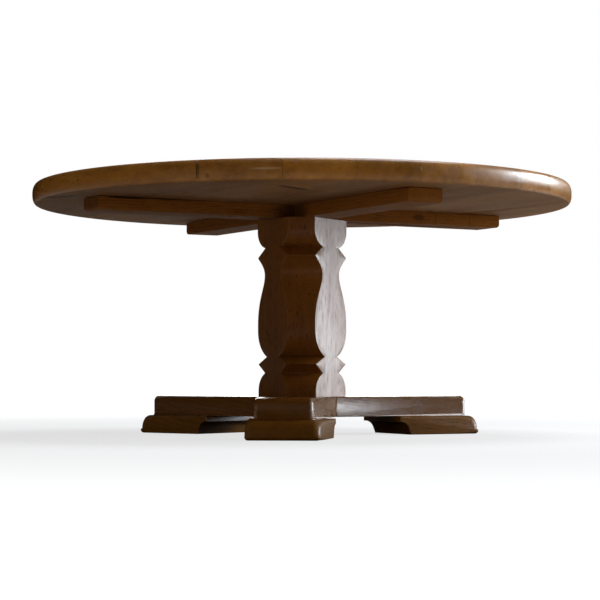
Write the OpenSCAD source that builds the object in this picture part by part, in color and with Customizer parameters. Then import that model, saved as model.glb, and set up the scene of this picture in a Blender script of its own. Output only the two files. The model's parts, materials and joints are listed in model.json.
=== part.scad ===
// Round pedestal table. A top of edge-glued boards lies on two crossed bearers,
// which stand on a three-sided sawn column over a three-armed base with foot pads.
// +Z is up, the origin is on the floor under the column's axis, and the front arm
// points along -Y. The column and everything above it is turned a little on the base.

/* [Top] */
// Diameter of the round top
top_d = 1200; // [1100:10:1300]
// Thickness of the top
top_t = 43.5; // [40:0.5:50]
// Width of every board but the outer two, which run to the rim
board_w = 130; // [125:1:140]
// Radius of the rim's rounded upper edge
rim_top_r = 14; // [6:1:20]
// Radius of the rim's lower arris
rim_low_r = 5; // [2:1:8]

/* [Bearers] */
// Length of each bearer
bearer_l = 1022; // [980:2:1040]
// Width of each bearer
bearer_w = 82; // [78:1:90]
// Depth of each bearer
bearer_t = 30; // [28:1:36]
// Radius of the lower corner at a bearer's ends
bearer_end_r = 9; // [3:1:14]

/* [Column] */
// Height of the column
col_h = 394.5; // [390:0.5:400]
// Distance from the column's axis to each of its three flat faces
col_flat = 75; // [72:1:80]
// Turn of the column and everything above it on the base, in degrees
upper_turn = 5; // [0:0.1:8]

/* [Base] */
// Distance from the axis to the end of an arm
arm_reach = 384; // [375:1:400]
// Thickness of an arm
arm_h = 45; // [42:1:55]
// Width of an arm at its end
arm_end_w = 121; // [100:1:130]
// Distance from the axis to the corner between two arms
hub_corner = 93; // [88:1:100]
// Radius of the upper corner at an arm's end
arm_end_r = 9; // [3:1:14]

/* [Foot pads] */
// Height of a pad
pad_h = 41; // [36:1:46]
// Distance from the axis to the pad's outer end
pad_reach = 411; // [402:1:440]
// Distance from the axis to the pad's inner end, at its top
pad_inner = 199; // [180:1:215]
// Width of the pad at its outer end
pad_end_w = 153; // [140:1:165]
// Width of the pad at its inner end
pad_inner_w = 186; // [176:1:196]

/* [Fixings] */
// Diameter of the tie rod
rod_d = 12; // [10:1:12]
// Diameter of the board and mitre dowels
dowel_d = 10; // [8:1:10]
// Length of the board and mitre dowels
dowel_l = 56; // [50:1:58]
// Diameter of the dowels at the column's foot and head
col_dowel_d = 12; // [10:1:12]
// Diameter of the wood screws' shanks
screw_d = 5; // [4:0.5:5]

/* [Hidden] */
$fn = 96;
arc_steps = 14;
oak = "peru";
oak_dark = "saddlebrown";
beech = "burlywood";
steel = "lightsteelblue";

arm_turns = [270, 30, 150];          // front, right and left arms
corner_turns = [for (t = arm_turns) t + upper_turn];
long_turn = 30 + upper_turn;         // the bearer across the boards
cross_turn = long_turn + 90;         // the bearer along the boards

// levels, from the floor up
arm_z = pad_h;
col_z = arm_z + arm_h;
bearer_z = col_z + col_h;
top_z = bearer_z + bearer_t;
table_h = top_z + top_t;
lap_z = bearer_z + bearer_t / 2;

// tie rod and what it carries
rod_gap = 0.5;
plate_d = 120;
plate_t = 5;
nut_af = 1.5 * rod_d;
nut_h = 10;
washer_d = 30;
washer_t = 2.5;
rod_end = 4;
rod_low_z = arm_z - nut_h - rod_end;
rod_top_z = top_z + washer_t + nut_h + rod_end;
pocket_d = 38;
pocket_h = rod_top_z - top_z + 2;
plate_screw_at = 42;
plate_screw_l = 24;

// wood screws
head_d = 2 * screw_d;
head_h = screw_d / 2;
bearer_screw_at = [180, 400];        // from the axis, on both sides
bearer_screw_l = 55;
pad_screw_at = [250, 345];
pad_screw_l = 60;
pad_bore_h = 12;
pad_bore_d = head_d + 2;

// dowels
col_dowel_at = 60;
col_dowel_l = 40;
mitre_dowel_at = [40, 72];
dowel_space = 250;
dowel_end_gap = 1;

// boards glued edge to edge, and the joints between them, measured across the boards
board_count = 9;
joints = [for (i = [0:board_count - 2]) (i - (board_count - 2) / 2) * board_w];

// The column's sawn corners. Each stage has its distance from the axis and its height
// above the column's foot, from the foot block up to the head block.
foot_r = 95;
foot_h = 12;
neck_r = 69.5;
neck_h = 51;
neck_flat = 2;
ridge_r = 95;
ridge_h = 71.5;
groove_r = 61;
groove_h = 88;
belly_r = 97.5;
belly_h = 146;
shoulder_h = 160;
waist_r = 69.5;
waist_h = 270;
collar_r = 97.5;
collar_h = 310.5;
quirk_r = 67.5;
quirk_h = 331.5;
head_r = 99;
block_h = 370;

function along(turn) = [cos(turn), sin(turn)];

// points of a round about c with radii rx and rz, from angle a0 to a1
function round_pts(c, rx, rz, a0, a1) =
    [for (i = [0:arc_steps]) let (a = a0 + (a1 - a0) * i / arc_steps)
        c + [rx * cos(a), rz * sin(a)]];

// points of a swelling round from p, where it runs along Z, to q above or below it
function swell_pts(p, q) =
    let (dx = p.x - q.x, dz = q.y - p.y, r = (dx * dx + dz * dz) / (2 * dx),
         a = asin(dz / r))
    [for (i = [0:arc_steps]) let (t = a * i / arc_steps)
        [p.x - r + r * cos(t), p.y + r * sin(t)]];

// points of a cubic curve from p to q that sets out by the handle hp and arrives by hq
function curve_pts(p, q, hp, hq) =
    [for (i = [0:arc_steps]) let (t = i / arc_steps, s = 1 - t)
        s * s * s * p + 3 * s * s * t * (p + hp) + 3 * s * t * t * (q - hq) + t * t * t * q];

function reversed(pts) = [for (i = [len(pts) - 1:-1:0]) pts[i]];

corner_line = concat(
    [[foot_r, 0]],
    swell_pts([foot_r, foot_h], [neck_r, neck_h]),
    [[neck_r, neck_h + neck_flat], [ridge_r, ridge_h]],
    reversed(swell_pts([belly_r, belly_h], [groove_r, groove_h])),
    curve_pts([belly_r, shoulder_h], [waist_r, waist_h], [0, 60], [0, 27]),
    curve_pts([waist_r, waist_h], [collar_r, collar_h], [0, 15], [17, 16]),
    reversed(swell_pts([head_r, block_h], [quirk_r, quirk_h])),
    [[head_r, col_h]]);

// ---- shapes shared by several pieces

// upright hole or shank from z, on a row of places [x, y]
module upright(places, d, z, h) {
    for (p = places) translate([p.x, p.y, z]) cylinder(d = d, h = h);
}

// countersunk wood screw pointing up, its head's face at the origin
module wood_screw(l) {
    rotate_extrude()
        polygon([[0, 0], [head_d / 2, 0], [screw_d / 2, head_h], [screw_d / 2, l], [0, l]]);
}

// side outline in the XZ plane, drawn across a width
module across(w) {
    rotate([90, 0, 0]) translate([0, 0, -w / 2]) linear_extrude(w) children();
}

bearer_screw_places = [for (turn = [long_turn, cross_turn], side = [-1, 1],
    at = bearer_screw_at) side * at * along(turn)];
plate_screw_places = [for (turn = arm_turns) plate_screw_at * along(turn)];
pad_screw_places = [for (turn = arm_turns, at = pad_screw_at) at * along(turn)];
col_dowel_places = [for (turn = corner_turns) col_dowel_at * along(turn)];

// ---- the top

module top_disc() {
    r = top_d / 2;
    translate([0, 0, top_z]) rotate_extrude($fn = 180) union() {
        square([r - rim_top_r, top_t]);
        translate([0, rim_low_r]) square([r, top_t - rim_low_r - rim_top_r]);
        square([r - rim_low_r, top_t / 2]);
        translate([r - rim_low_r, rim_low_r]) circle(rim_low_r);
        translate([r - rim_top_r, top_t - rim_top_r]) circle(rim_top_r);
    }
}

// dowels lying across the board joints; extra lengthens them into their bores
module board_dowels(extra = 0) {
    l = dowel_l + 2 * extra;
    rotate(long_turn) for (x = joints) {
        half = sqrt(pow(top_d / 2, 2) - x * x) - 90;
        n = ceil(2 * half / dowel_space);
        for (i = [0:n]) translate([x - l / 2, half * (2 * i / n - 1), top_z + top_t / 2])
            rotate([0, 90, 0]) cylinder(d = dowel_d, h = l);
    }
}

// board i of the top, counted across the boards
module top_board(i) {
    low = i == 0 ? -top_d : joints[i - 1];
    high = i == board_count - 1 ? top_d : joints[i];
    color(oak) difference() {
        intersection() {
            top_disc();
            rotate(long_turn) translate([low, -top_d, 0]) cube([high - low, 2 * top_d, 2 * table_h]);
        }
        board_dowels(dowel_end_gap);
        upright(bearer_screw_places, screw_d, bearer_z, bearer_screw_l);
        translate([0, 0, top_z - 1]) cylinder(d = pocket_d, h = pocket_h + 1);
    }
}

module top_dowels() {
    color(beech) board_dowels();
}

// ---- the bearers

// a bearer with the lap cut from its upper half or its lower half
module bearer(turn, lap_from) {
    l = bearer_l / 2;
    c = l - bearer_end_r;
    color(oak) difference() {
        rotate(turn) difference() {
            translate([0, 0, bearer_z]) across(bearer_w) polygon(concat(
                [[-l, bearer_t], [l, bearer_t]],
                round_pts([c, bearer_end_r], bearer_end_r, bearer_end_r, 0, -90),
                round_pts([-c, bearer_end_r], bearer_end_r, bearer_end_r, 270, 180)));
            translate([-bearer_w / 2, -bearer_w, lap_from])
                cube([bearer_w, 2 * bearer_w, bearer_t / 2 + 1]);
        }
        upright(bearer_screw_places, screw_d + 0.5, bearer_z - 1, bearer_t + 2);
        for (p = bearer_screw_places) translate([p.x, p.y, bearer_z]) wood_screw(bearer_t);
        upright(col_dowel_places, col_dowel_d, bearer_z - 1, col_dowel_l / 2 + 1 + dowel_end_gap);
        upright([[0, 0]], rod_d + 2 * rod_gap, bearer_z - 1, bearer_t + 2);
    }
}

module bearer_long() {
    bearer(long_turn, lap_z);
}

module bearer_cross() {
    bearer(cross_turn, bearer_z - 1);
}

module bearer_screws() {
    color(steel) for (p = bearer_screw_places)
        translate([p.x, p.y, bearer_z]) wood_screw(bearer_screw_l);
}

// ---- the column

// one of the three glued staves, with its sawn corner at the given turn
module stave(turn) {
    color(oak_dark) translate([0, 0, col_z]) difference() {
        rotate(turn) intersection() {
            linear_extrude(col_h) polygon([[0, 0], col_flat * along(-60),
                [2 * col_flat, 0], col_flat * along(60)]);
            across(4 * col_flat) polygon(concat(corner_line, [[-1, col_h], [-1, 0]]));
        }
        upright([[0, 0]], rod_d + 4 * rod_gap, -1, col_h + 2);
        for (z = [-1, col_h - col_dowel_l / 2 - dowel_end_gap])
            upright(col_dowel_places, col_dowel_d, z, col_dowel_l / 2 + 1 + dowel_end_gap);
    }
}

module foot_dowels() {
    color(beech) upright(col_dowel_places, col_dowel_d, col_z - col_dowel_l / 2, col_dowel_l);
}

module head_dowels() {
    color(beech) upright(col_dowel_places, col_dowel_d, bearer_z - col_dowel_l / 2, col_dowel_l);
}

// ---- the tie rod through the column

module tie_rod() {
    color(steel) translate([0, 0, rod_low_z]) cylinder(d = rod_d, h = rod_top_z - rod_low_z);
}

module tie_rod_nuts() {
    color(steel) for (z = [arm_z - nut_h, top_z + washer_t]) translate([0, 0, z]) difference() {
        cylinder(d = nut_af / cos(30), h = nut_h, $fn = 6);
        translate([0, 0, -1]) cylinder(d = rod_d, h = nut_h + 2);
    }
}

module tie_rod_washer() {
    color(steel) translate([0, 0, top_z]) difference() {
        cylinder(d = washer_d, h = washer_t);
        translate([0, 0, -1]) cylinder(d = rod_d + 2 * rod_gap, h = washer_t + 2);
    }
}

module hub_plate() {
    color(steel) difference() {
        translate([0, 0, arm_z]) cylinder(d = plate_d, h = plate_t);
        translate([0, 0, arm_z - 1]) cylinder(d = rod_d + 2 * rod_gap, h = plate_t + 2);
        for (p = plate_screw_places) translate([p.x, p.y, arm_z]) wood_screw(plate_screw_l);
    }
}

module hub_plate_screws() {
    color(steel) for (p = plate_screw_places) translate([p.x, p.y, arm_z])
        wood_screw(plate_screw_l);
}

// ---- the base

// dowels lying across the mitres between the arms
module mitres(extra = 0) {
    l = dowel_l + 2 * extra;
    for (turn = arm_turns, at = mitre_dowel_at) rotate(turn + 60)
        translate([at, l / 2, arm_z + arm_h / 2]) rotate([90, 0, 0]) cylinder(d = dowel_d, h = l);
}

module base_arm(turn) {
    end = arm_end_w / 2;
    root = hub_corner * along(60);
    color(oak) difference() {
        translate([0, 0, arm_z]) rotate(turn) intersection() {
            linear_extrude(arm_h) polygon([[0, 0], [root.x, -root.y], [arm_reach, -end],
                [arm_reach, end], root]);
            across(4 * hub_corner) polygon(concat([[0, 0], [arm_reach, 0]],
                round_pts([arm_reach - arm_end_r, arm_h - arm_end_r], arm_end_r, arm_end_r, 0, 90),
                [[0, arm_h]]));
        }
        mitres(dowel_end_gap);
        translate([0, 0, arm_z - 1]) cylinder(d = plate_d, h = plate_t + 1);
        upright([[0, 0]], rod_d + 2 * rod_gap, arm_z, arm_h + 1);
        upright(col_dowel_places, col_dowel_d, col_z - col_dowel_l / 2 - dowel_end_gap,
            col_dowel_l);
        upright(plate_screw_places, screw_d, arm_z, plate_screw_l + 1);
        upright(pad_screw_places, screw_d, arm_z - 1, pad_bore_h + pad_screw_l - arm_z + 2);
    }
}

module mitre_dowels() {
    color(beech) mitres();
}

// side outline of a pad: a full round at the outer end, a cove at the inner end
module pad_outline() {
    nose = [22, 30];
    toe_r = 4;
    cove_r = 21;
    cove_end = 25;
    fillet_h = 12.5;
    fillet_r = 2;
    heel = pad_inner + 28.5;
    cove = [pad_inner + 3, pad_h - fillet_h - cove_r];
    polygon(concat(
        [[heel, 0]],
        round_pts([pad_reach - toe_r, toe_r], toe_r, toe_r, -90, 0),
        round_pts([pad_reach - nose.x, pad_h - nose.y], nose.x, nose.y, 0, 90),
        round_pts([pad_inner + fillet_r, pad_h - fillet_r], fillet_r, fillet_r, 90, 180),
        [[pad_inner, pad_h - fillet_h]],
        round_pts(cove, cove_r, cove_r, 90, cove_end)));
}

module foot_pad(turn) {
    end = pad_end_w / 2;
    inner = pad_inner_w / 2;
    color(oak) difference() {
        rotate(turn) intersection() {
            linear_extrude(pad_h) polygon([[pad_inner, -inner], [pad_reach, -end],
                [pad_reach, end], [pad_inner, inner]]);
            across(2 * pad_end_w) pad_outline();
        }
        upright(pad_screw_places, pad_bore_d, -1, pad_bore_h + 1);
        upright(pad_screw_places, screw_d, 0, pad_h + 1);
    }
}

module pad_screws() {
    color(steel) {
        upright(pad_screw_places, head_d, pad_bore_h - head_h, head_h);
        upright(pad_screw_places, screw_d, pad_bore_h, pad_screw_l);
    }
}

for (i = [0:board_count - 1])
    top_board(i);
top_dowels();
bearer_long();
bearer_cross();
bearer_screws();
stave(corner_turns[0]);  // column_stave_front
stave(corner_turns[1]);  // column_stave_right
stave(corner_turns[2]);  // column_stave_left
foot_dowels();  // column_foot_dowels
head_dowels();  // column_head_dowels
tie_rod();
tie_rod_nuts();
tie_rod_washer();
hub_plate();
hub_plate_screws();
base_arm(arm_turns[0]);  // base_arm_front
base_arm(arm_turns[1]);  // base_arm_right
base_arm(arm_turns[2]);  // base_arm_left
mitre_dowels();
foot_pad(arm_turns[0]);  // foot_pad_front
foot_pad(arm_turns[1]);  // foot_pad_right
foot_pad(arm_turns[2]);  // foot_pad_left
pad_screws();
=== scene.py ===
import json
import math

import bmesh
import bpy
from mathutils import Matrix, Vector

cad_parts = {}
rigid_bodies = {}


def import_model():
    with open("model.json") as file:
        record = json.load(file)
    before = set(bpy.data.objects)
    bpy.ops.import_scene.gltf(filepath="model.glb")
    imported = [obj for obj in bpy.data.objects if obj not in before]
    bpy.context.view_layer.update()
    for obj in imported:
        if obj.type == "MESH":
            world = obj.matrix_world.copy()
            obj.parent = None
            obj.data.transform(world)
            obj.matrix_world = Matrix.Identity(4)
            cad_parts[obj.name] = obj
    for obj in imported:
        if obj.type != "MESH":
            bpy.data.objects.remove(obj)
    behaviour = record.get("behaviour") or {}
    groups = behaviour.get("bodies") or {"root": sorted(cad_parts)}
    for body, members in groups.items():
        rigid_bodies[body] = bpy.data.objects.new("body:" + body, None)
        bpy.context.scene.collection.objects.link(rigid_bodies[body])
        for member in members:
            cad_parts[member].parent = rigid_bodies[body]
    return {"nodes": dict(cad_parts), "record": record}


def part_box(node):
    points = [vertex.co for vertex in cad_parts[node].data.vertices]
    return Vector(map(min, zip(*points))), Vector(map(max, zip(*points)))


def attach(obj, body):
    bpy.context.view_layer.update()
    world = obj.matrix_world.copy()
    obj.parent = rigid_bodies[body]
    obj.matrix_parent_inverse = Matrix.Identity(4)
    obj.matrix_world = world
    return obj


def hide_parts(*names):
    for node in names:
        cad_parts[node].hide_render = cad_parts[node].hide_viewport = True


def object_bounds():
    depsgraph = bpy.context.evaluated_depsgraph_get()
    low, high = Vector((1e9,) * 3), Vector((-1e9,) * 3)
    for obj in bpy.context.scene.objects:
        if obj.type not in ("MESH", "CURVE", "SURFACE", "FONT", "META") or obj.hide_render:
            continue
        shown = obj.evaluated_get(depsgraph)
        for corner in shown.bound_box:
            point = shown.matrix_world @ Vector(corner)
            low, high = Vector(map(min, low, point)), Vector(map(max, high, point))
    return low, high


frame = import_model()

cadLow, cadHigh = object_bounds()
mm = 0.001
rodBore = 6.5 * mm
over = 10 * mm


# ---- small helpers

def turnBy(degrees):
    return Matrix.Rotation(math.radians(degrees), 4, "Z")


def along(degrees, reach):
    a = math.radians(degrees)
    return Vector((reach * math.cos(a), reach * math.sin(a), 0))


def arc(cx, cy, rx, ry, start, end, steps=10):
    spots = [math.radians(start + (end - start) * i / steps) for i in range(steps + 1)]
    return [(cx + rx * math.cos(a), cy + ry * math.sin(a)) for a in spots]


def curve(p, q, hp, hq, steps=18):
    made = []
    for i in range(steps + 1):
        t = i / steps
        s = 1 - t
        made.append(tuple(s ** 3 * p[k] + 3 * s * s * t * (p[k] + hp[k])
                          + 3 * s * t * t * (q[k] - hq[k]) + t ** 3 * q[k] for k in (0, 1)))
    return made


def swell(p, q, steps=14):
    # a round that runs upright at p and bulges outwards to q
    dx, dz = p[0] - q[0], q[1] - p[1]
    r = (dx * dx + dz * dz) / (2 * dx)
    end = math.asin(dz / r)
    return [(p[0] - r + r * math.cos(end * i / steps), p[1] + r * math.sin(end * i / steps))
            for i in range(steps + 1)]


def makePiece(name, bm):
    bmesh.ops.recalc_face_normals(bm, faces=bm.faces)
    mesh = bpy.data.meshes.new(name)
    bm.to_mesh(mesh)
    bm.free()
    piece = bpy.data.objects.new(name, mesh)
    bpy.context.scene.collection.objects.link(piece)
    return piece


def setDown(piece, turn, base=0.0):
    # pieces are drawn along X, then turned to their place
    piece.data.transform(Matrix.Translation((0, 0, base)) @ turnBy(turn))


def applyModifiers(piece):
    bpy.context.view_layer.update()
    shown = piece.evaluated_get(bpy.context.evaluated_depsgraph_get())
    made = bpy.data.meshes.new_from_object(shown)
    piece.modifiers.clear()
    old = piece.data
    piece.data = made
    bpy.data.meshes.remove(old)
    made.name = piece.name


def smooth(piece, angle=32):
    for face in piece.data.polygons:
        face.use_smooth = True
    piece.data.set_sharp_from_angle(angle=math.radians(angle))


def inwardNormals(outline):
    # mitred inward normals of a closed outline
    count = len(outline)
    area = sum(outline[i - 1][0] * outline[i][1] - outline[i][0] * outline[i - 1][1]
               for i in range(count))
    flip = 1 if area > 0 else -1
    sides = []
    for i in range(count):
        dx = outline[(i + 1) % count][0] - outline[i][0]
        dz = outline[(i + 1) % count][1] - outline[i][1]
        length = math.hypot(dx, dz)
        sides.append((-dz * flip / length, dx * flip / length))
    made = []
    for i in range(count):
        a, b = sides[i - 1], sides[i]
        scale = 1 / max(0.3, 1 + a[0] * b[0] + a[1] * b[1])
        made.append(((a[0] + b[0]) * scale, (a[1] + b[1]) * scale))
    return made


def sweepBar(outline, radii, halfWidth, split=None, steps=5):
    # a side outline in XZ swept across Y; each point has its own edge radius, and the half
    # width may change with x; the wear layer marks the rounded edges
    bm = bmesh.new()
    wear = bm.verts.layers.float.new("wear")
    inward = inwardNormals(outline)
    rings = []
    for side in (-1, 1):
        for k in range(steps + 1):
            bend = math.radians(90 * (k if side < 0 else steps - k) / steps)
            ring = []
            for (x, z), (nx, nz), r in zip(outline, inward, radii):
                inset = r * (1 - math.sin(bend))
                px, pz = x + nx * inset, z + nz * inset
                y = max(0.0, halfWidth(px) - r * (1 - math.cos(bend)))
                vertex = bm.verts.new((px, side * y, pz))
                vertex[wear] = math.sin(2 * bend) * min(1.0, r / 0.0015)
                ring.append(vertex)
            rings.append(ring)
    count = len(outline)
    for lower, upper in zip(rings, rings[1:]):
        for i in range(count):
            j = (i + 1) % count
            bm.faces.new((lower[i], lower[j], upper[j], upper[i]))
    for ring in (rings[0], rings[-1]):
        if split is None:
            bm.faces.new(ring)
        else:
            bm.faces.new([v for v, p in zip(ring, outline) if p[0] >= split])
            bm.faces.new([v for v, p in zip(ring, outline) if p[0] <= split])
    bmesh.ops.remove_doubles(bm, verts=bm.verts, dist=2e-6)
    return bm


def loosePieces(node):
    # the separate solids of a CAD node, as lists of points
    bm = bmesh.new()
    bm.from_mesh(frame["nodes"][node].data)
    bmesh.ops.remove_doubles(bm, verts=bm.verts, dist=1e-6)
    bm.verts.ensure_lookup_table()
    left, islands = set(bm.verts), []
    while left:
        todo, island = [left.pop()], []
        while todo:
            vertex = todo.pop()
            island.append(vertex.co.copy())
            for edge in vertex.link_edges:
                other = edge.other_vert(vertex)
                if other in left:
                    left.remove(other)
                    todo.append(other)
        islands.append(island)
    bm.free()
    return islands


def middleOf(points):
    return sum(points, Vector()) / len(points)


# the column and the top stand turned on the base; the front dowel in its foot shows how far
frontDowel = min((middleOf(island) for island in loosePieces("column_foot_dowels")),
                 key=lambda spot: spot.y)
upperTurn = math.degrees(math.atan2(frontDowel.y, frontDowel.x)) + 90


def cutAway(piece, nodes=(), hulls=(), wells=(), crossing=False):
    # takes the room of the fasteners' own solids out of a wooden piece
    bm = bmesh.new()
    for node in nodes:
        bm.from_mesh(frame["nodes"][node].data)
    bmesh.ops.remove_doubles(bm, verts=bm.verts, dist=1e-6)
    for node in hulls:
        for island in loosePieces(node):
            made = [bm.verts.new(p) for p in island]
            bmesh.ops.convex_hull(bm, input=made)
            bmesh.ops.delete(bm, geom=[v for v in made if v.is_valid and not v.link_faces],
                             context="VERTS")
    for x, y, low, high, radius in wells:
        bmesh.ops.create_cone(bm, cap_ends=True, segments=48, radius1=radius, radius2=radius,
                              depth=high - low,
                              matrix=Matrix.Translation((x, y, (low + high) / 2)))
    bmesh.ops.recalc_face_normals(bm, faces=bm.faces)
    cutter = makePiece("cutter", bm)
    cut = piece.modifiers.new("cut", "BOOLEAN")
    cut.operation = "DIFFERENCE"
    cut.solver = "EXACT"
    cut.use_self = crossing
    cut.object = cutter
    applyModifiers(piece)
    bpy.data.objects.remove(cutter)
    for vertex in piece.data.vertices:
        vertex.co.z = max(0.0, vertex.co.z)


def place(piece, slot, material, *nodes, angle=32):
    smooth(piece, angle)
    piece.data.materials.clear()
    for one in material if isinstance(material, list) else [material]:
        piece.data.materials.append(one)
    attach(piece, "root")
    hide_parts(*nodes)
    return piece


# ---- camera: low, a little to the right of the front arm, looking slightly up

cameraSet = dict(distance=4.274, turn=5.8, height=0.1263, aside=-0.0043, pitch=2.35, lens=114.5)

camera = bpy.data.objects.new("camera", bpy.data.cameras.new("camera"))
camera.data.lens = cameraSet["lens"]
camera.data.sensor_width = 36
camera.matrix_world = (
    turnBy(cameraSet["turn"])
    @ Matrix.Translation((cameraSet["aside"], -cameraSet["distance"], cameraSet["height"]))
    @ Matrix.Rotation(math.radians(90 + cameraSet["pitch"]), 4, "X"))
bpy.context.scene.collection.objects.link(camera)
bpy.context.scene.camera = camera


# ---- light: a soft window at the right, a ceiling light, a weak fill from the left, and glints
# that only add reflections to some of the pieces

lampSet = {
    "windowGlow": dict(turn=12, reach=2.6, height=1.2, size=(1.6, 1.6), power=50,
                       colour=(0.80, 0.91, 1.0), glossy=False),
    "windowGlint": dict(turn=22, reach=2.6, height=1.25, size=(1.3, 0.9), power=78,
                        colour=(0.82, 0.92, 1.0), diffuse=False, pieces=("topBoard",)),
    "lowGlint": dict(turn=23, reach=2.6, height=0.3, size=(1.5, 0.46), power=48, aim=0.2,
                     colour=(0.86, 0.93, 1.0), diffuse=False, pieces=("stave", "arm", "pad")),
    "ceiling": dict(turn=25, reach=0.7, height=2.9, size=(1.6, 1.6), power=48,
                    colour=(0.92, 0.96, 1.0)),
    "leftFill": dict(turn=241, reach=3.0, height=0.5, size=(2.2, 1.2), power=7.6,
                     colour=(1.0, 0.95, 0.88), glossy=False),
    "floorGlint": dict(turn=-30, reach=0.95, height=0.05, size=(0.2, 0.08), power=3.1, aim=0.06,
                       colour=(0.9, 0.94, 1.0), diffuse=False, pieces=("arm",)),
    "farGlint": dict(turn=96, reach=6.0, height=1.9, size=(2.2, 2.8), power=120,
                     colour=(1, 1, 1), diffuse=False,
                     pieces=("topBoard", "bearer", "stave", "arm"))}


def areaLight(name, turn, reach, height, size, power, colour, aim=0.35, diffuse=True, glossy=True,
              pieces=()):
    data = bpy.data.lights.new(name, "AREA")
    data.shape = "RECTANGLE"
    data.size, data.size_y = size
    data.energy = power
    data.color = colour
    lamp = bpy.data.objects.new(name, data)
    spot = along(turn, reach) + Vector((0, 0, height))
    lamp.rotation_mode = "QUATERNION"
    lamp.rotation_quaternion = (spot - Vector((0, 0, aim))).to_track_quat("Z", "Y")
    lamp.location = spot
    lamp.visible_camera = False
    lamp.visible_diffuse = diffuse
    lamp.visible_glossy = glossy
    bpy.context.scene.collection.objects.link(lamp)
    if pieces:
        lamp.light_linking.receiver_collection = bpy.data.collections.new(name + "Pieces")


for lampName, settings in lampSet.items():
    areaLight(lampName, **settings)

world = bpy.data.worlds.new("studio")
bpy.context.scene.world = world
world.use_nodes = True
bpy.context.scene.view_settings.view_transform = "Standard"


# ---- node building

def put(tree, kind, settings=None, inputs=None):
    node = tree.nodes.new(kind)
    for key, value in (settings or {}).items():
        setattr(node, key, value)
    for key, value in (inputs or {}).items():
        if isinstance(value, bpy.types.NodeSocket):
            tree.links.new(value, node.inputs[key])
        else:
            node.inputs[key].default_value = value
    return node


def sums(tree, kind, a, b=0.0, c=None, clamp=False):
    inputs = {0: a, 1: b}
    if c is not None:
        inputs[2] = c
    return put(tree, "ShaderNodeMath", dict(operation=kind, use_clamp=clamp), inputs).outputs[0]


def vectors(tree, kind, a, b=(0, 0, 0)):
    return put(tree, "ShaderNodeVectorMath", dict(operation=kind), {0: a, 1: b}).outputs[0]


def fit(tree, value, low, high, newLow=0.0, newHigh=1.0, smoothly=False):
    kind = "SMOOTHSTEP" if smoothly else "LINEAR"
    return put(tree, "ShaderNodeMapRange", dict(interpolation_type=kind),
               {0: value, 1: low, 2: high, 3: newLow, 4: newHigh}).outputs[0]


def cloud(tree, vector, scale, detail=2.0, rough=0.5, output=0):
    # noise whose grain is stretched by a scale for each axis
    stretched = vectors(tree, "MULTIPLY", vector, scale)
    return put(tree, "ShaderNodeTexNoise", None,
               {"Vector": stretched, "Scale": 1.0, "Detail": detail, "Roughness": rough}).outputs[output]


def blend(tree, share, a, b, kind="MIX"):
    node = put(tree, "ShaderNodeMix", dict(data_type="RGBA", blend_type=kind),
               {0: share, 6: a, 7: b})
    return node.outputs[2]


def newGroup(name, ins, outs):
    group = bpy.data.node_groups.new(name, "ShaderNodeTree")
    for label, kind, value in ins:
        socket = group.interface.new_socket(name=label, in_out="INPUT",
                                            socket_type="NodeSocket" + kind)
        if value is not None:
            socket.default_value = value
    for label, kind in outs:
        group.interface.new_socket(name=label, in_out="OUTPUT", socket_type="NodeSocket" + kind)
    start = group.nodes.new("NodeGroupInput").outputs
    end = group.nodes.new("NodeGroupOutput").inputs
    return group, start, end


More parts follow.
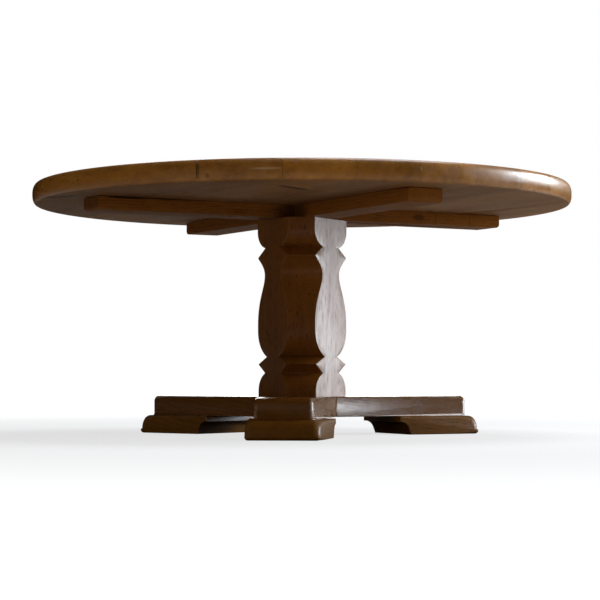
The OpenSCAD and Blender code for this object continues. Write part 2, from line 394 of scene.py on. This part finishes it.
def buildOakGrain():
    # the grain runs along X; rings lie round a pith off to the side
    group, start, end = newGroup("oakGrain", [
        ("Vector", "Vector", None), ("Shift", "Vector", (0, 0, 0)),
        ("Pith", "Vector", (0, 0.05, -0.12)), ("Ring", "Float", 0.0034),
        ("Light", "Color", (0.3, 0.16, 0.07, 1)), ("Dark", "Color", (0.12, 0.05, 0.02, 1)),
        ("Figure", "Float", 0.5), ("Pores", "Float", 0.6)],
        [("Color", "Color"), ("Pores", "Float"), ("Height", "Float")])
    spot = vectors(group, "ADD", start["Vector"], start["Shift"])
    drift = cloud(group, spot, (1.3, 6.5, 6.5), 3, output=1)
    drift = vectors(group, "MULTIPLY", vectors(group, "SUBTRACT", drift, (0.5, 0.5, 0.5)),
                    (0.0, 0.035, 0.035))
    bent = vectors(group, "ADD", vectors(group, "SUBTRACT", spot, start["Pith"]), drift)
    bent = vectors(group, "MULTIPLY", bent, (0, 1, 1))
    length = put(group, "ShaderNodeVectorMath", dict(operation="LENGTH"), {0: bent}).outputs["Value"]
    rings = sums(group, "DIVIDE", length, start["Ring"])
    year = sums(group, "FRACT", rings)
    early = put(group, "ShaderNodeValToRGB", None, {0: year})
    ramp = early.color_ramp.elements
    ramp[0].position, ramp[0].color = 0.0, (0.75, 0.75, 0.75, 1)
    ramp[1].position, ramp[1].color = 1.0, (0.65, 0.65, 0.65, 1)
    for position, level in ((0.12, 1.0), (0.42, 0.3), (0.88, 0.0)):
        ramp.new(position).color = (level, level, level, 1)
    early = early.outputs[0]
    fibres = cloud(group, spot, (9, 520, 520), 2, 0.6)
    streaks = cloud(group, spot, (2.2, 75, 75), 3, 0.6)
    bands = cloud(group, spot, (0.9, 17, 17), 2)
    blotch = cloud(group, spot, (1.6, 5, 5), 2)
    pores = fit(group, cloud(group, spot, (60, 1250, 1250), 1), 0.56, 0.68)
    pores = sums(group, "MULTIPLY", pores, fit(group, early, 0.1, 0.9, 0.25, 1.0))
    flecks = fit(group, cloud(group, spot, (34, 330, 330), 1.5), 0.63, 0.72)
    marks = sums(group, "MAXIMUM", pores, sums(group, "MULTIPLY", flecks, 0.85))
    tone = sums(group, "MULTIPLY", early, 0.3)
    for part, share in ((fibres, 0.35), (streaks, 0.75), (bands, 0.8), (blotch, 0.6)):
        centred = sums(group, "SUBTRACT", part, 0.5)
        tone = sums(group, "MULTIPLY_ADD", centred, share, tone)
    tone = sums(group, "MULTIPLY_ADD", sums(group, "SUBTRACT", tone, 0.12), start["Figure"], 0.42,
                clamp=True)
    colour = blend(group, tone, start["Light"], start["Dark"])
    pits = sums(group, "MULTIPLY", marks, start["Pores"])
    colour = blend(group, pits, colour, start["Dark"], "MULTIPLY")
    height = sums(group, "MULTIPLY_ADD", marks, -0.7, sums(group, "MULTIPLY", fibres, 0.35))
    height = sums(group, "MULTIPLY_ADD", early, -0.2, height)
    group.links.new(colour, end["Color"])
    group.links.new(pits, end["Pores"])
    group.links.new(height, end["Height"])
    return group


def buildEdgeWearAndHighlight():
    # rubbed edges, which on the arms also carry a painted highlight: the mesh says where an edge is,
    # noise breaks it up
    group, start, end = newGroup("edgeWear", [
        ("Vector", "Vector", None), ("Color", "Color", (0.3, 0.2, 0.1, 1)),
        ("Worn", "Color", (0.4, 0.26, 0.14, 1)), ("Amount", "Float", 0.6)],
        [("Color", "Color"), ("Worn", "Float")])
    edge = put(group, "ShaderNodeAttribute", dict(attribute_name="wear")).outputs["Fac"]
    broken = cloud(group, start["Vector"], (38, 38, 38), 4, 0.65)
    broken = fit(group, broken, 0.38, 0.6, smoothly=True)
    wornAndHighlight = sums(group, "MULTIPLY", sums(group, "MULTIPLY", edge, broken), start["Amount"])
    group.links.new(blend(group, wornAndHighlight, start["Color"], start["Worn"]), end["Color"])
    group.links.new(wornAndHighlight, end["Worn"])
    return group


def buildHandling():
    # soft unevenness of scraped wood, dents, and smears in the lacquer
    group, start, end = newGroup("handling", [
        ("Vector", "Vector", None), ("Dents", "Float", 0.4)],
        [("Height", "Float"), ("Smears", "Float")])
    swellNoise = cloud(group, start["Vector"], (9, 16, 16), 1)
    dents = put(group, "ShaderNodeTexVoronoi", dict(feature="F1"),
                {"Vector": start["Vector"], "Scale": 26.0}).outputs["Distance"]
    dents = fit(group, dents, 0.05, 0.16, -1.0, 0.0, smoothly=True)
    height = sums(group, "MULTIPLY", swellNoise, 4.0)
    height = sums(group, "MULTIPLY_ADD", dents, start["Dents"], height)
    smears = cloud(group, start["Vector"], (7, 13, 13), 4, 0.7)
    group.links.new(height, end["Height"])
    group.links.new(smears, end["Smears"])
    return group


def buildPatch():
    # a small patch round a centre, stretched by three radii, with a ragged outline
    group, start, end = newGroup("patch", [
        ("Vector", "Vector", None), ("Centre", "Vector", (0, 0, 0)),
        ("Radii", "Vector", (0.01, 0.01, 0.01)), ("Angle", "Float", 0.0), ("Ragged", "Float", 0.5)],
        [("Mask", "Float")])
    away = vectors(group, "SUBTRACT", start["Vector"], start["Centre"])
    away = put(group, "ShaderNodeVectorRotate", dict(rotation_type="Z_AXIS"),
               {"Vector": away, "Angle": start["Angle"]}).outputs[0]
    away = vectors(group, "DIVIDE", away, start["Radii"])
    length = put(group, "ShaderNodeVectorMath", dict(operation="LENGTH"), {0: away}).outputs["Value"]
    torn = sums(group, "SUBTRACT", cloud(group, start["Vector"], (260, 260, 260), 3, 0.6), 0.5)
    length = sums(group, "MULTIPLY_ADD", torn, start["Ragged"], length)
    group.links.new(fit(group, length, 0.55, 1.0, 1.0, 0.0, smoothly=True), end["Mask"])
    return group


def buildSeam():
    # fine dark lines where a board meets its neighbours
    group, start, end = newGroup("seam", [
        ("Vector", "Vector", None), ("Low", "Float", -1.0), ("High", "Float", 1.0),
        ("Low Width", "Float", 0.0005), ("High Width", "Float", 0.0005)], [("Mask", "Float")])
    across = put(group, "ShaderNodeSeparateXYZ", None, {0: start["Vector"]}).outputs[1]
    broken = fit(group, cloud(group, start["Vector"], (9, 9, 60), 3, 0.6), 0.3, 0.6, 0.35, 1.0)
    masks = []
    for edge, width in (("Low", "Low Width"), ("High", "High Width")):
        gap = sums(group, "ABSOLUTE", sums(group, "SUBTRACT", across, start[edge]))
        gap = sums(group, "DIVIDE", gap, start[width])
        masks.append(fit(group, gap, 0.4, 1.0, 1.0, 0.0, smoothly=True))
    both = sums(group, "MAXIMUM", masks[0], masks[1])
    group.links.new(sums(group, "MULTIPLY", both, broken), end["Mask"])
    return group


oakGrain, edgeWear, handling = buildOakGrain(), buildEdgeWearAndHighlight(), buildHandling()
patch, seam = buildPatch(), buildSeam()


def makeOak(name, light, dark, turn=0.0, upright=False, shift=(0, 0, 0), pith=(0, 0.05, -0.12),
            ring=0.0034, figure=0.55, pores=0.55, rough=(0.34, 0.5), wear=0.5,
            wornAndHighlight=(0.34, 0.2, 0.1), lacquer=0.0, gloss=0.5, bump=0.12, marks=(), seams=None):
    material = bpy.data.materials.new(name)
    material.use_nodes = True
    tree = material.node_tree
    shader = tree.nodes["Principled BSDF"]
    here = put(tree, "ShaderNodeTexCoord").outputs["Object"]
    spot = put(tree, "ShaderNodeVectorRotate", dict(rotation_type="Z_AXIS"),
               {"Vector": here, "Angle": -math.radians(turn)}).outputs[0]
    if upright:
        axes = put(tree, "ShaderNodeSeparateXYZ", None, {0: spot}).outputs
        spot = put(tree, "ShaderNodeCombineXYZ", None,
                   {0: axes[2], 1: axes[0], 2: axes[1]}).outputs[0]
    grain = put(tree, "ShaderNodeGroup", dict(node_tree=oakGrain), {
        "Vector": spot, "Shift": shift, "Pith": pith, "Ring": ring, "Light": (*light, 1),
        "Dark": (*dark, 1), "Figure": figure, "Pores": pores}).outputs
    edges = put(tree, "ShaderNodeGroup", dict(node_tree=edgeWear), {
        "Vector": spot, "Color": grain["Color"], "Worn": (*wornAndHighlight, 1), "Amount": wear}).outputs
    life = put(tree, "ShaderNodeGroup", dict(node_tree=handling), {"Vector": spot}).outputs
    colour = edges["Color"]
    depth = 0.0
    if seams:
        line = put(tree, "ShaderNodeGroup", dict(node_tree=seam), {
            "Vector": spot, "Low": seams[0], "High": seams[1], "Low Width": seams[2],
            "High Width": seams[3]}).outputs[0]
        colour = blend(tree, line, colour, (0.01, 0.004, 0.001, 1))
        depth = sums(tree, "MULTIPLY", line, -0.0004)
    for centre, radii, angle, tint, strength in marks:
        mask = put(tree, "ShaderNodeGroup", dict(node_tree=patch), {
            "Vector": here, "Centre": centre, "Radii": radii,
            "Angle": -math.radians(angle)}).outputs[0]
        colour = blend(tree, sums(tree, "MULTIPLY", mask, strength), colour, (*tint, 1))
    tree.links.new(colour, shader.inputs["Base Color"])
    dull = fit(tree, life["Smears"], 0.3, 0.7, rough[0], rough[1])
    dull = sums(tree, "MULTIPLY_ADD", grain["Pores"], 0.25, dull)
    dull = sums(tree, "MULTIPLY_ADD", edges["Worn"], 0.12, dull, clamp=True)
    tree.links.new(dull, shader.inputs["Roughness"])
    shader.inputs["Specular IOR Level"].default_value = gloss
    height = sums(tree, "MULTIPLY", life["Height"], 0.2 * mm)
    height = sums(tree, "MULTIPLY_ADD", grain["Height"], 0.25 * mm, height)
    height = sums(tree, "ADD", height, depth)
    normal = put(tree, "ShaderNodeBump", None,
                 {"Strength": 1.0, "Distance": bump * 8, "Height": height})
    tree.links.new(normal.outputs["Normal"], shader.inputs["Normal"])
    shader.inputs["IOR"].default_value = 1.5
    shader.inputs["Coat Weight"].default_value = lacquer
    shader.inputs["Coat Roughness"].default_value = 0.22
    return material


def makeMetal(name, tint, rough):
    material = bpy.data.materials.new(name)
    material.use_nodes = True
    tree = material.node_tree
    shader = tree.nodes["Principled BSDF"]
    spot = put(tree, "ShaderNodeTexCoord").outputs["Object"]
    life = put(tree, "ShaderNodeGroup", dict(node_tree=handling), {"Vector": spot}).outputs
    bloom = cloud(tree, spot, (90, 90, 90), 5, 0.7)
    stain = fit(tree, bloom, 0.45, 0.7, smoothly=True)
    dull = tuple(c * 0.55 for c in tint)
    colour = blend(tree, stain, (*tint, 1), (*dull, 1))
    tree.links.new(colour, shader.inputs["Base Color"])
    gloss = fit(tree, life["Smears"], 0.3, 0.7, rough, rough + 0.2)
    dullness = sums(tree, "MULTIPLY_ADD", stain, 0.15, gloss, clamp=True)
    tree.links.new(dullness, shader.inputs["Roughness"])
    turned = cloud(tree, spot, (400, 400, 3000), 1)
    normal = put(tree, "ShaderNodeBump", None,
                 {"Strength": 0.3, "Distance": 0.2 * mm, "Height": turned})
    tree.links.new(normal.outputs["Normal"], shader.inputs["Normal"])
    shader.inputs["Metallic"].default_value = 1.0
    return material


oakColours = dict(
    top=((0.70, 0.30, 0.045), (0.24, 0.078, 0.008)),
    under=((0.46, 0.228, 0.088), (0.215, 0.096, 0.034)),
    bearer=((0.40, 0.145, 0.018), (0.14, 0.042, 0.004)),
    column=((0.40, 0.145, 0.018), (0.14, 0.042, 0.004)),
    base=((0.36, 0.135, 0.018), (0.12, 0.038, 0.004)),
    pad=((0.43, 0.17, 0.022), (0.15, 0.05, 0.005)),
    beech=((0.55, 0.38, 0.22), (0.36, 0.22, 0.12)))

zinc = makeMetal("zincSteel", (0.55, 0.55, 0.56), 0.32)
beech = makeOak("beech", *oakColours["beech"], ring=0.0021, pores=0.15, rough=(0.55, 0.7), wear=0.1)
print("materials built")


# ---- the top: nine boards cut from one turned disc

topSet = dict(turn=-60.0, boardWidth=0.130, boards=9, upper=(0.0115, 0.021), lower=(0.008, 0.019),
              steps=288, pocket=(0.019, 0.0185),
              tints=(0.88, 0.86, 1.12, 0.92, 1.06, 0.84, 1.1, 0.95, 1.03),
              pithSides=(0.03, -0.05, 0.09, 0.0, -0.08, 0.05, -0.02, 0.07, -0.04),
              pithDepths=(-0.12, 0.1, -0.16),
              seamWidths=(0.0004, 0.0006, 0.0005, 0.0004, 0.0006, 0.0004, 0.0005, 0.0004, 0.0005,
                          0.0004))


def rimProfile(radius, low, high):
    upper, lower = topSet["upper"], topSet["lower"]
    return (arc(radius - lower[0], low + lower[1], *lower, -90, 0, 10)
            + arc(radius - upper[0], high - upper[1], *upper, 0, 90, 12))


def boardEdges(index):
    # where a board starts and ends across the top; the outer two run past the rim
    first = (index - topSet["boards"] / 2) * topSet["boardWidth"]
    return (first if index > 0 else -2.0,
            first + topSet["boardWidth"] if index < topSet["boards"] - 1 else 2.0)


def makeTopBoard(index, radius, low, high):
    bm = bmesh.new()
    profile = rimProfile(radius, low, high)
    steps = topSet["steps"]
    rings = []
    for r, z in profile:
        rings.append([bm.verts.new((r * math.cos(2 * math.pi * i / steps),
                                    r * math.sin(2 * math.pi * i / steps), z)) for i in range(steps)])
    for lower, upper in zip(rings, rings[1:]):
        for i in range(steps):
            j = (i + 1) % steps
            bm.faces.new((lower[i], lower[j], upper[j], upper[i]))
    bm.faces.new(rings[0])
    bm.faces.new(rings[-1])
    bmesh.ops.recalc_face_normals(bm, faces=bm.faces)
    for at, side in zip(boardEdges(index), (-1, 1)):
        if abs(at) > radius:
            continue
        cut = bmesh.ops.bisect_plane(bm, geom=bm.verts[:] + bm.edges[:] + bm.faces[:],
                                     plane_co=(0, at, 0), plane_no=(0, side, 0), clear_outer=True)
        rim = [e for e in cut["geom_cut"] if isinstance(e, bmesh.types.BMEdge)]
        bmesh.ops.edgeloop_fill(bm, edges=rim)
    wear = bm.verts.layers.float.new("wear")
    for vertex in bm.verts:
        reach, z = vertex.co.to_2d().length, vertex.co.z
        if reach > radius - topSet["upper"][0] * 0.95:
            upper = 1 - abs((z - (high - 0.004)) / 0.006)
            lower = 1 - abs((z - (low + 0.0015)) / 0.004)
            vertex[wear] = max(0.0, upper * 0.7, lower * 0.6)
    piece = makePiece(f"topBoard{index + 1}", bm)
    setDown(piece, upperTurn + topSet["turn"])
    return piece


def rimSpot(turn, height, reach=0.6):
    spot = along(turn, reach)
    return (spot.x, spot.y, height)


# darkMarkAndShade colours the real cracks and dark marks, and also the painted shade patches on the
# bearers
darkMarkAndShade, paleMark, rawWood = (0.02, 0.008, 0.002), (0.75, 0.52, 0.30), (0.55, 0.27, 0.08)
topMarks = {
    0: [(rimSpot(255.9, 0.530), (0.006, 0.0045, 0.026), 256, darkMarkAndShade, 0.55),
        (rimSpot(226.0, 0.531), (0.004, 0.005, 0.0022), 226, darkMarkAndShade, 0.7)],
    1: [(rimSpot(255.9, 0.530), (0.006, 0.0045, 0.026), 256, darkMarkAndShade, 0.55),
        (rimSpot(257.8, 0.520), (0.006, 0.0065, 0.007), 258, darkMarkAndShade, 0.45),
        (rimSpot(269.1, 0.5325), (0.010, 0.036, 0.0028), 269, paleMark, 0.55)]}
underCrack = [(rimSpot(275.5, 0.5105, 0.458), (0.06, 0.02, 0.004), 65, rawWood, 0.5),
              (rimSpot(273.4, 0.5105, 0.437), (0.075, 0.011, 0.004), 65, darkMarkAndShade, 0.8)]
underMarks = {
    2: underCrack, 3: underCrack,
    0: [(rimSpot(211.3, 0.5105, 0.567), (0.065, 0.013, 0.004), -33, darkMarkAndShade, 0.8)]}


def tinted(kind, share):
    return [tuple(c * share for c in colour) for colour in oakColours[kind]]


def buildTop():
    low, high = (c.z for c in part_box("top_board_5"))
    radius = cadHigh.x
    pocketRadius, pocketDepth = topSet["pocket"]
    for i in range(topSet["boards"]):
        piece = makeTopBoard(i, radius, low, high)
        cutAway(piece, nodes=["top_dowels", "bearer_screws"],
                wells=[(0, 0, low - over, low + pocketDepth, pocketRadius)])
        shift = (1.7 * i, 0.9 * i, 0.37 * i)
        pith = (0, topSet["pithSides"][i], topSet["pithDepths"][i % 3])
        tint = topSet["tints"][i]
        turn = upperTurn + topSet["turn"]
        edges = boardEdges(i)
        seams = (max(-1.0, edges[0]), min(1.0, edges[1]), *topSet["seamWidths"][i:i + 2])
        common = dict(turn=turn, shift=shift, pith=pith, seams=seams)
        upper = makeOak(f"topOak{i + 1}", *tinted("top", tint), rough=(0.24, 0.34), lacquer=0.2,
                        gloss=0.6, figure=1.15, wear=0.35, marks=topMarks.get(i, ()), **common)
        under = makeOak(f"underOak{i + 1}", *tinted("under", tint), rough=(0.52, 0.66), gloss=0.3,
                        figure=0.7, wear=0.2, marks=underMarks.get(i, ()), **common)
        place(piece, "top_oak", [upper, under], f"top_board_{i + 1}")
        for face in piece.data.polygons:
            face.material_index = 1 if face.normal.z < -0.9 else 0
    print("top built")


buildTop()


# ---- the bearers: two flat bars, lapped where they cross

bearerSet = dict(turns=(30.0, 120.0), half=0.511, width=0.082, endRound=0.009, ease=0.002, sag=0.0016,
                 sagRun=0.35)


def makeBearer(name, node, turn, lapAbove, seed, marks):
    low, high = (c.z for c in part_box(node))
    b = bearerSet
    l, w, r, e = b["half"], b["width"] / 2, b["endRound"], b["ease"]
    mid = (low + high) / 2
    start = l * (1 - b["sagRun"])
    corners = [(l, high - b["sag"], e), (start, high, e)]
    if lapAbove:
        corners += [(w + 0.003, high, e), (w, high, 0), (w, mid, 0), (-w, mid, 0), (-w, high, 0),
                    (-w - 0.003, high, e)]
    corners += [(-start, high, e), (-l, high - b["sag"], e)]
    corners += [(*p, e) for p in arc(-l + r, low + r, r, r, 180, 270, 8)]
    if not lapAbove:
        corners += [(-w - 0.003, low, e), (-w, low, 0), (-w, mid, 0), (w, mid, 0), (w, low, 0),
                    (w + 0.003, low, e)]
    corners += [(*p, e) for p in arc(l - r, low + r, r, r, 270, 360, 8)]
    outline = [(x, z) for x, z, _ in corners]
    piece = makePiece(name, sweepBar(outline, [c[2] for c in corners], lambda x: w, steps=4))
    setDown(piece, turn)
    cutAway(piece, nodes=["bearer_screws", "column_head_dowels"],
            wells=[(0, 0, low - over, high + over, rodBore)])
    oak = makeOak(name + "Oak", *oakColours["bearer"], turn=turn, shift=(seed, 0.4 * seed, 0.2),
                  pith=(0, 0.02, -0.09), rough=(0.46, 0.6), gloss=0.16, wear=0.5, marks=marks)
    return place(piece, "bearer_oak", oak, node)


def faceSpot(reach, height):
    # a spot on the long bearer's near face
    spot = along(35, reach) + along(-55, bearerSet["width"] / 2)
    return (spot.x, spot.y, height)


# painted shade: a dark patch on both bearers where they cross above the column head
crossShade = [((0, -0.03, 0.492), (0.10, 0.10, 0.03), 0, darkMarkAndShade, 0.6)]
# the long bearer's marks: the first two are a painted shadow line along bearer A's top edge, in the gap
# where it sags from the top; the third is painted shade over bearer A's end; then a knot and two thin
# dark lines on bearer D's near face
longMarksAndShade = [(faceSpot(-0.45, 0.509), (0.06, 0.01, 0.0045), 35, darkMarkAndShade, 0.9),
             (faceSpot(-0.37, 0.51), (0.14, 0.01, 0.0035), 35, darkMarkAndShade, 0.8),
             (rimSpot(215, 0.4955, 0.511), (0.006, 0.06, 0.024), 35, darkMarkAndShade, 0.45),
             (faceSpot(0.285, 0.4955), (0.02, 0.006, 0.009), 35, darkMarkAndShade, 0.5),
             (faceSpot(0.331, 0.492), (0.0012, 0.006, 0.018), 35, darkMarkAndShade, 0.6),
             (faceSpot(0.4255, 0.492), (0.0012, 0.006, 0.018), 35, darkMarkAndShade, 0.6)]
makeBearer("bearerLong", "bearer_long", upperTurn + bearerSet["turns"][0], True, 3.1,
           crossShade + longMarksAndShade)
makeBearer("bearerCross", "bearer_cross", upperTurn + bearerSet["turns"][1], False, 5.3, crossShade)
print("bearers built")


# ---- the column: three staves, each with one sawn corner

columnSet = dict(flat=0.075, arris=0.0022, bore=0.007,
                 foot=(0.095, 0.012), neck=(0.0695, 0.051), neckFlat=0.002, ridge=(0.095, 0.0715),
                 groove=(0.061, 0.088), belly=(0.0975, 0.146), shoulder=(0.0975, 0.160),
                 waist=(0.0695, 0.270), collar=(0.0975, 0.3105), quirk=(0.0675, 0.3315),
                 block=(0.099, 0.370))


def cornerLine(height):
    c = columnSet
    line = [(c["foot"][0], 0.0)] + swell(c["foot"], c["neck"])
    line += [(c["neck"][0], c["neck"][1] + c["neckFlat"]), c["ridge"]]
    line += swell(c["belly"], c["groove"])[::-1]
    line += curve(c["shoulder"], c["waist"], (0, 0.060), (0, 0.027))
    line += curve(c["waist"], c["collar"], (0, 0.015), (0.017, 0.016))[1:]
    line += swell(c["block"], c["quirk"])[::-1]
    line.append((c["block"][0], height))
    return line


def finerLine(line, step):
    # splits long stretches, so that the wear along the arrises can change
    made = [line[0]]
    for a, b in zip(line, line[1:]):
        pieces = max(1, math.ceil(math.dist(a, b) / step))
        made += [(a[0] + (b[0] - a[0]) * i / pieces, a[1] + (b[1] - a[1]) * i / pieces)
                 for i in range(1, pieces + 1)]
    return made


def makeStave(name, node, turn, seed):
    low, high = (c.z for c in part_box(node))
    flat, ease = columnSet["flat"], columnSet["arris"]
    line = finerLine(cornerLine(high - low), 0.006)
    tips = [columnSet[k] for k in ("ridge", "collar")]
    bm = bmesh.new()
    wear = bm.verts.layers.float.new("wear")
    side = Vector((math.cos(math.radians(60)), math.sin(math.radians(60))))
    facing = Vector((side.y, -side.x))  # along the flat face, towards the corner
    rings = []
    for reach, z in line:
        half = (reach - flat * side.x) / facing.x
        corner = flat * side + half * facing
        cut = ease * math.tan(math.radians(30))
        onFlat = corner - facing * cut
        centre = onFlat - side * ease
        tip = max(0.0, 1 - min(math.dist((reach, z), t) for t in tips) / 0.004)
        ring = [((0, 0), 0.0), (tuple(flat * side), 0.0),
                (tuple(flat * side + facing * half * 0.5), 0.0), (tuple(onFlat), 0.0)]
        for a in (45, 30, 15):
            spot = centre + ease * Vector((math.cos(math.radians(a)), math.sin(math.radians(a))))
            ring.append((tuple(spot), 1.0))
        ring.append(((reach, corner.y - cut), tip))
        ring.append(((reach, 0.0), tip))
        mirrored = [((p[0], -p[1]), w) for p, w in ring[1:-1]]
        ring += mirrored[::-1]
        made = []
        for (x, y), w in ring:
            vertex = bm.verts.new((x, y, z))
            vertex[wear] = w
            made.append(vertex)
        rings.append(made)
    count = len(rings[0])
    for lower, upper in zip(rings, rings[1:]):
        for i in range(count):
            j = (i + 1) % count
            bm.faces.new((lower[i], lower[j], upper[j], upper[i]))
    bm.faces.new(rings[0])
    bm.faces.new(rings[-1])
    piece = makePiece(name, bm)
    setDown(piece, turn, low)
    cutAway(piece, nodes=["column_foot_dowels", "column_head_dowels"],
            wells=[(0, 0, low - over, high + over, columnSet["bore"])])
    oak = makeOak(name + "Oak", *oakColours["column"], turn=turn, upright=True,
                  shift=(seed, 0.3 * seed, 0.7), pith=(0, -0.06, 0.05), ring=0.0031,
                  rough=(0.36, 0.5), lacquer=0.1, wear=0.45, figure=0.65, pores=0.85)
    return place(piece, "column_oak", oak, node, angle=24)


for label, turn, seed in (("Front", 270, 1.3), ("Right", 30, 4.1), ("Left", 150, 6.7)):
    makeStave("stave" + label, "column_stave_" + label.lower(), turn + upperTurn, seed)
print("column built")


# ---- the base: three tapering arms, mitred together, and a pad under each

armSet = dict(reach=0.384, endHalf=0.0605, hubCorner=0.093, endRound=0.0125, ease=0.0035,
              endEase=0.0085)


def makeArm(name, node, turn, seed):
    low, high = (c.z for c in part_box(node))
    a = armSet
    reach, half, hub, e, r = a["reach"], a["endHalf"], a["hubCorner"], a["ease"], a["endRound"]
    rootX, rootY = hub * math.cos(math.radians(60)), hub * math.sin(math.radians(60))

    def halfWidth(x):
        if x <= rootX:
            return rootY * x / rootX
        return rootY + (half - rootY) * (x - rootX) / (reach - rootX)

    corners = [(0, low, 0), (rootX, low, 0), (rootX + 0.004, low, 0.0015),
               (reach - 0.002, low, 0.002), (reach, low + 0.002, a["endEase"])]
    corners += [(*p, a["endEase"]) for p in arc(reach - r, high - r, r, r, 0, 90, 10)]
    corners += [(reach - 0.05, high, e), (rootX + 0.004, high, e), (rootX, high, 0), (0, high, 0)]
    outline = [(x, z) for x, z, _ in corners]
    bm = sweepBar(outline, [c[2] for c in corners], halfWidth, split=rootX)
    piece = makePiece(name, bm)
    setDown(piece, turn)
    cutAway(piece, nodes=["mitre_dowels", "column_foot_dowels", "pad_screws", "hub_plate_screws"],
            hulls=["hub_plate"], wells=[(0, 0, low - over, high + over, rodBore)], crossing=True)
    # the arms' worn edges are paler than on the other pieces: partly real wear, partly a painted
    # highlight along their top edges
    oak = makeOak(name + "Oak", *oakColours["base"], turn=turn, shift=(seed, 0.5 * seed, 1.1),
                  pith=(0, 0.03, -0.11), rough=(0.2, 0.31), lacquer=0.25, wear=0.85,
                  wornAndHighlight=(0.5, 0.36, 0.24))
    return place(piece, "base_oak", oak, node)


padSet = dict(reach=0.411, inner=0.199, endHalf=0.0765, innerHalf=0.093, nose=(0.022, 0.030),
              toe=0.008, cove=0.021, coveEnd=25, heel=0.0285, fillet=0.0125, filletRound=0.002,
              noseEase=0.016, ease=0.005, toeEase=0.007, soleEase=0.0015, well=0.006, headDepth=0.0025)


def makePad(name, node, turn, seed):
    p = padSet
    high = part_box(node)[1].z
    coveAt = (p["inner"] + 0.003, high - p["fillet"] - p["cove"])
    corners = [(p["inner"] + p["heel"], 0.0, p["soleEase"]),
               (p["reach"] - 0.07, 0.0, p["soleEase"] * 1.5)]
    corners += [(x, z, p["toeEase"]) for x, z in
                arc(p["reach"] - p["toe"], p["toe"], p["toe"], p["toe"], -90, 0, 6)]
    corners += [(x, z, p["noseEase"]) for x, z in
                arc(p["reach"] - p["nose"][0], high - p["nose"][1], *p["nose"], 0, 90, 14)]
    corners += [(p["reach"] - 0.05, high, p["ease"] * 1.3), (p["inner"] + 0.05, high, p["ease"]),
                (p["inner"] + 0.012, high, p["ease"] * 0.7)]
    corners += [(x, z, p["soleEase"]) for x, z in
                arc(p["inner"] + p["filletRound"], high - p["filletRound"], p["filletRound"],
                    p["filletRound"], 90, 180, 5)]
    corners.append((p["inner"], high - p["fillet"], p["soleEase"]))
    corners += [(x, z, p["soleEase"]) for x, z in
                arc(*coveAt, p["cove"], p["cove"], 90, p["coveEnd"], 12)]
    outline = [(x, z) for x, z, _ in corners]

    def halfWidth(x):
        share = (p["reach"] - x) / (p["reach"] - p["inner"])
        return p["endHalf"] + (p["innerHalf"] - p["endHalf"]) * share

    piece = makePiece(name, sweepBar(outline, [c[2] for c in corners], halfWidth, steps=6))
    setDown(piece, turn)
    wells = []
    for island in loosePieces("pad_screws"):
        x, y, _ = middleOf(island)
        wells.append((x, y, -over, min(v.z for v in island) + p["headDepth"], p["well"]))
    cutAway(piece, nodes=["pad_screws"], wells=wells)
    oak = makeOak(name + "Oak", *oakColours["pad"], turn=turn, shift=(seed, 0.5 * seed, 2.3),
                  pith=(0, -0.04, -0.1), rough=(0.34, 0.48), lacquer=0.1, gloss=0.32, wear=0.75)
    return place(piece, "base_oak", oak, node)


for label, turn, seed in (("Front", 270, 2.2), ("Right", 30, 5.6), ("Left", 150, 8.9)):
    makeArm("arm" + label, "base_arm_" + label.lower(), turn, seed)
    makePad("pad" + label, "foot_pad_" + label.lower(), turn, seed + 1.7)
print("base built")


# ---- fasteners and dowels keep their own shapes

finishes = {"steel": zinc, "dowel_wood": beech}
for part in frame["record"]["subparts"]:
    node = frame["nodes"][part["node"]]
    if part["material_slot"] in finishes and not node.hide_render:
        node.data.materials.clear()
        node.data.materials.append(finishes[part["material_slot"]])
print("fasteners dressed")


# ---- pale floor and backdrop, with painted shade on the floor round the table

floorSet = dict(size=60.0, seen=(0.3, 0.3, 0.3), glow=(0.72, 1.0), fade=(0.9, 3.0),
                near=(0.03, 0.028, 0.025), far=(0.66, 0.58, 0.51), spread=(0.35, 1.1))


def buildFloor():
    bm = bmesh.new()
    bmesh.ops.create_grid(bm, x_segments=8, y_segments=8, size=floorSet["size"] / 2)
    floor = makePiece("floor", bm)
    material = bpy.data.materials.new("paleFloor")
    material.use_nodes = True
    tree = material.node_tree
    spot = put(tree, "ShaderNodeTexCoord").outputs["Object"]
    reach = put(tree, "ShaderNodeVectorMath", dict(operation="LENGTH"), {0: spot}).outputs["Value"]
    # for light bouncing off the floor, its colour is painted near black round the table: painted shade
    # under the base
    away = fit(tree, reach, *floorSet["spread"], smoothly=True)
    bounce = blend(tree, away, (*floorSet["near"], 1), (*floorSet["far"], 1))
    dim = tree.nodes["Principled BSDF"]
    tree.links.new(bounce, dim.inputs["Base Color"])
    dim.inputs["Roughness"].default_value = 0.9
    # for the camera the floor glows to stay white, more weakly near the table
    glow = fit(tree, reach, *floorSet["fade"], *floorSet["glow"], smoothly=True)
    seen = put(tree, "ShaderNodeBsdfPrincipled", None, {
        "Base Color": (*floorSet["seen"], 1), "Roughness": 0.9,
        "Emission Color": (1, 1, 1, 1), "Emission Strength": glow})
    path = put(tree, "ShaderNodeLightPath").outputs["Is Camera Ray"]
    mix = put(tree, "ShaderNodeMixShader", None, {0: path, 1: dim.outputs[0], 2: seen.outputs[0]})
    tree.links.new(mix.outputs[0], tree.nodes["Material Output"].inputs["Surface"])
    floor.data.materials.append(material)


def buildWorld(dimness):
    tree = world.node_tree
    background = tree.nodes["Background"]
    path = put(tree, "ShaderNodeLightPath").outputs["Is Camera Ray"]
    shade = blend(tree, path, (*dimness, 1), (1, 1, 1, 1))
    tree.links.new(shade, background.inputs["Color"])


buildFloor()
buildWorld((0.04, 0.037, 0.034))
world.cycles_visibility.glossy = False
print("stage built")

for lampName, settings in lampSet.items():
    if "pieces" in settings:
        lit = bpy.data.objects[lampName].light_linking.receiver_collection
        for piece in bpy.context.scene.objects:
            if piece.name.startswith(settings["pieces"]):
                lit.objects.link(piece)
